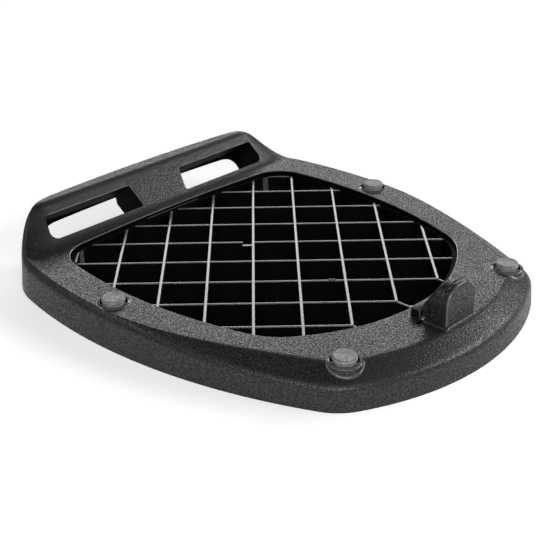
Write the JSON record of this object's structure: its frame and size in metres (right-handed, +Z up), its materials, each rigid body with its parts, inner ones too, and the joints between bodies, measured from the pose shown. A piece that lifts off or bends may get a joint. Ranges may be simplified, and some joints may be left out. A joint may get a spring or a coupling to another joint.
{
  "type": "top case mounting plate",
  "caption": "Black moulded mounting plate for a top case, with an open diagonal lattice, rubber pads, a raised bar with strap slots and a catch block.",
  "frame": {"origin": "centre of the bounding box's bottom face, which lies in the plane of the walls' lower edges", "axes": "+Z up towards the case, +Y towards the raised bar with the slots, X = 0 is the plane of symmetry"},
  "size_m": [0.2362, 0.2654, 0.0423],
  "materials": {
    "grained_black_plastic": "fine moulded grain",
    "grey_rubber": "matt",
    "gloss_black_plastic": "gloss",
    "bright_steel": "bright"
  },
  "bodies": {
    "root": {"mounting_plate": "grained_black_plastic", "pad_rear_right": "grey_rubber", "pad_rear_left": "grey_rubber", "pad_front_right": "grey_rubber", "pad_front_left": "grey_rubber", "catch_tongue": "gloss_black_plastic", "catch_pin": "bright_steel"}
  },
  "joints": []
}
